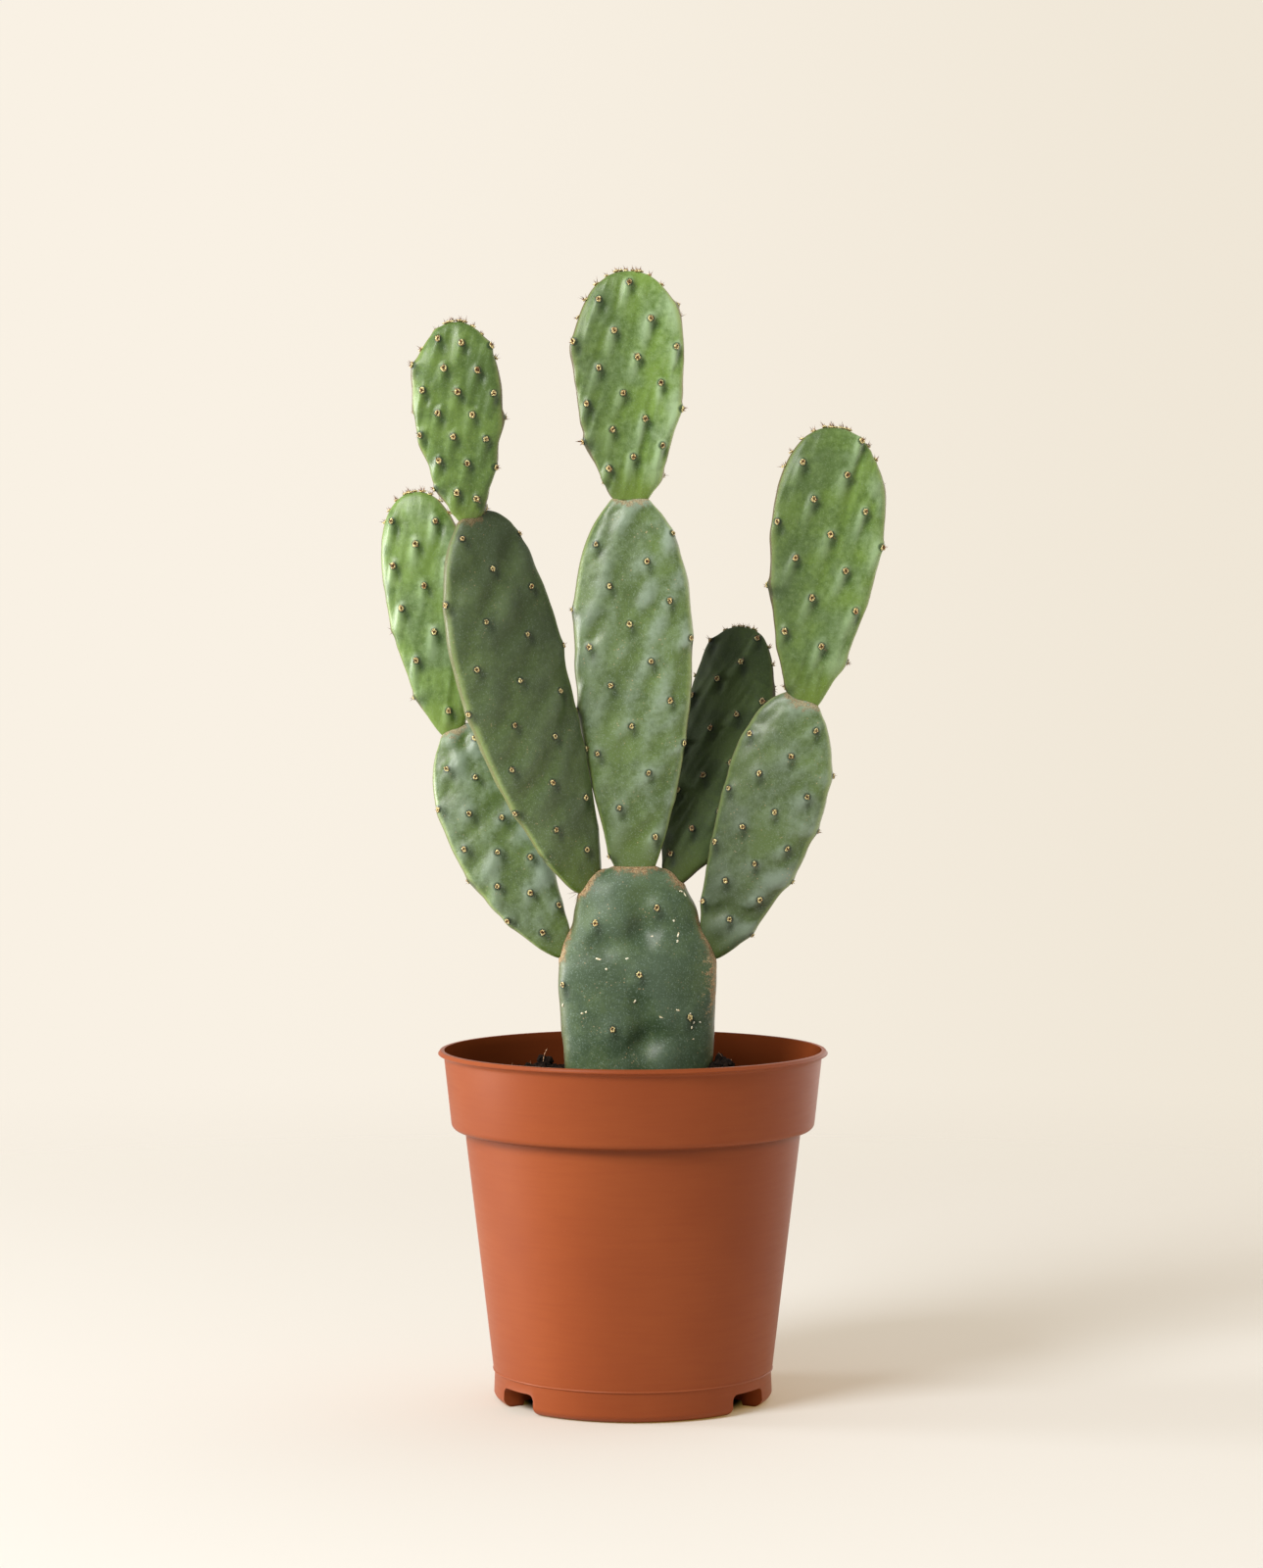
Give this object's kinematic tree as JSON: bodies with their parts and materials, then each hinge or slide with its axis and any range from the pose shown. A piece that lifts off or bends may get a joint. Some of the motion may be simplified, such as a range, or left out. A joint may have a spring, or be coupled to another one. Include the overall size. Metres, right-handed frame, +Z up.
{
  "type": "potted paddle cactus",
  "caption": "Upright paddle cactus of flat green pads growing out of one another, rooted in dark soil in a tapered brown plastic nursery pot with a banded rim and notched foot.",
  "frame": {"origin": "on the floor under the pot's axis", "axes": "+Z up, -Y towards the side the plant is looked at from, +X to the viewer's right"},
  "size_m": [0.2189, 0.17, 0.491],
  "materials": {
    "pot_plastic": "satin moulded plastic, terracotta brown",
    "potting_soil": "loose dark peat with crumbs and fibres",
    "root_wood": "dry fibrous root skin",
    "trunk_skin": "old waxy plant skin, blue green with corky scars",
    "old_pad_skin": "waxy plant skin with a grey bloom",
    "young_pad_skin": "fresh glossy plant skin, yellow green"
  },
  "bodies": {
    "root": {"pot": "pot_plastic", "soil": "potting_soil", "roots": "root_wood", "pad_base": "trunk_skin", "pad_left_front": "old_pad_skin", "pad_left_low": "old_pad_skin", "pad_centre": "old_pad_skin", "pad_right": "old_pad_skin", "pad_left_top": "young_pad_skin", "pad_left_low_top": "young_pad_skin", "pad_centre_top": "young_pad_skin", "pad_right_top": "young_pad_skin", "pad_back_right": "young_pad_skin"}
  },
  "joints": []
}
